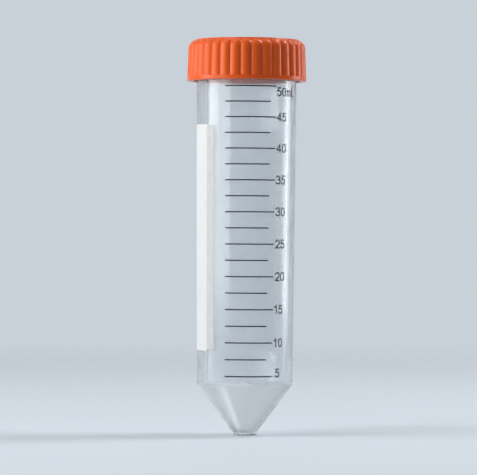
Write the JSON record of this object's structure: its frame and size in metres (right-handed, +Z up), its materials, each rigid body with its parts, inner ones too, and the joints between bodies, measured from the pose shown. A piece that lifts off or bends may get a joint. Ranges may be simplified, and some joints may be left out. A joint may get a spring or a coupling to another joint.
{
  "type": "conical centrifuge tube",
  "caption": "Translucent sample tube with a conical bottom, a printed volume scale, a white writing patch and a ribbed orange screw cap that comes off.",
  "frame": {"origin": "middle of the flat foot, on the surface that the tube stands on", "axes": "+Z up the tube's axis; -Y is the side that the printed volume scale faces, with the writing patch towards -X"},
  "size_m": [0.0352, 0.0352, 0.1165],
  "materials": {
    "tube_plastic": "translucent natural polypropylene, smooth, slightly milky",
    "cap_plastic": "opaque orange polyethylene, smooth",
    "print_black": "printed ink",
    "print_white": "printed ink, writing surface"
  },
  "bodies": {
    "tube": {"tube": "tube_plastic"},
    "cap": {"cap": "cap_plastic"}
  },
  "joints": [
    {"name": "cap_lift", "type": "slide", "parent": "tube", "child": "cap", "axis": [0, 0, 1], "range_m": [0, 0.02]}
  ]
}
